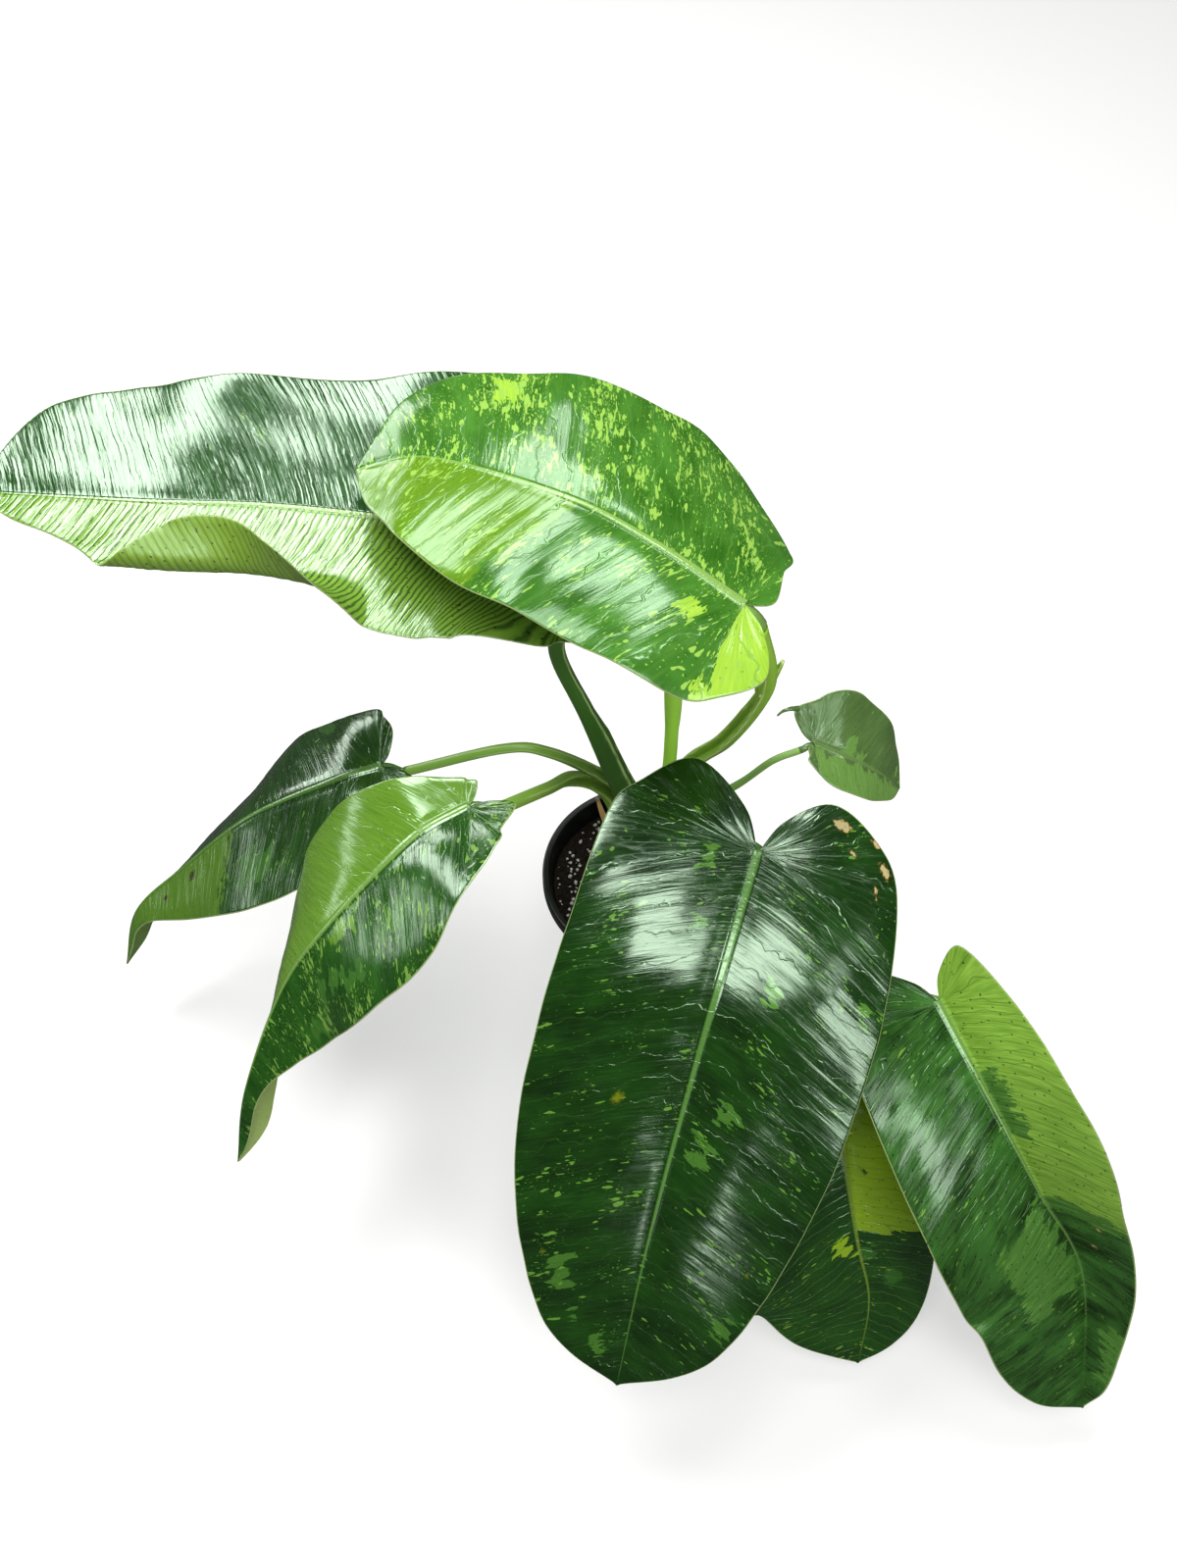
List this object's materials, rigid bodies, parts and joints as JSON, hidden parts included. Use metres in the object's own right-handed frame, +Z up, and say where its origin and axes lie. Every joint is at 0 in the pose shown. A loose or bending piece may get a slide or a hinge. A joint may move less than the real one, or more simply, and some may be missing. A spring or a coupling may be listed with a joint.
{
  "type": "potted jose buono philodendron",
  "caption": "Aroid house plant in a tapered grower's pot: long heart-shaped variegated leaves on arching stalks from a short stem, standing on its flat base.",
  "frame": {"origin": "middle of the pot's flat base, where it rests", "axes": "+Z up; -Y towards the side the picture was taken from; +X to that viewer's right, along the plant's longest spread"},
  "size_m": [0.4967, 0.3888, 0.3227],
  "materials": {
    "pot": "satin black, moulded",
    "potting_mix": "rough, bark and peat with white perlite",
    "stem": "satin, ringed with leaf scars",
    "stalk": "smooth, satin",
    "blade": "glossy leaf skin, dark green with lime sectors and flecks, pale below",
    "new_leaf": "smooth, satin, pale green",
    "dry_sheath": "dry, matte, papery"
  },
  "bodies": {
    "root": {"pot": "pot", "soil": "potting_mix", "stem": "stem", "new_leaf": "new_leaf", "dry_sheath": "dry_sheath", "stalk_front": "stalk", "blade_front": "blade", "stalk_right": "stalk", "blade_right": "blade", "stalk_under": "stalk", "blade_under": "blade", "stalk_left_upper": "stalk", "blade_left_upper": "blade", "stalk_left_lower": "stalk", "blade_left_lower": "blade", "stalk_back_large": "stalk", "blade_back_large": "blade", "stalk_back_right": "stalk", "blade_back_right": "blade", "stalk_small": "stalk", "blade_small": "blade"}
  },
  "joints": []
}
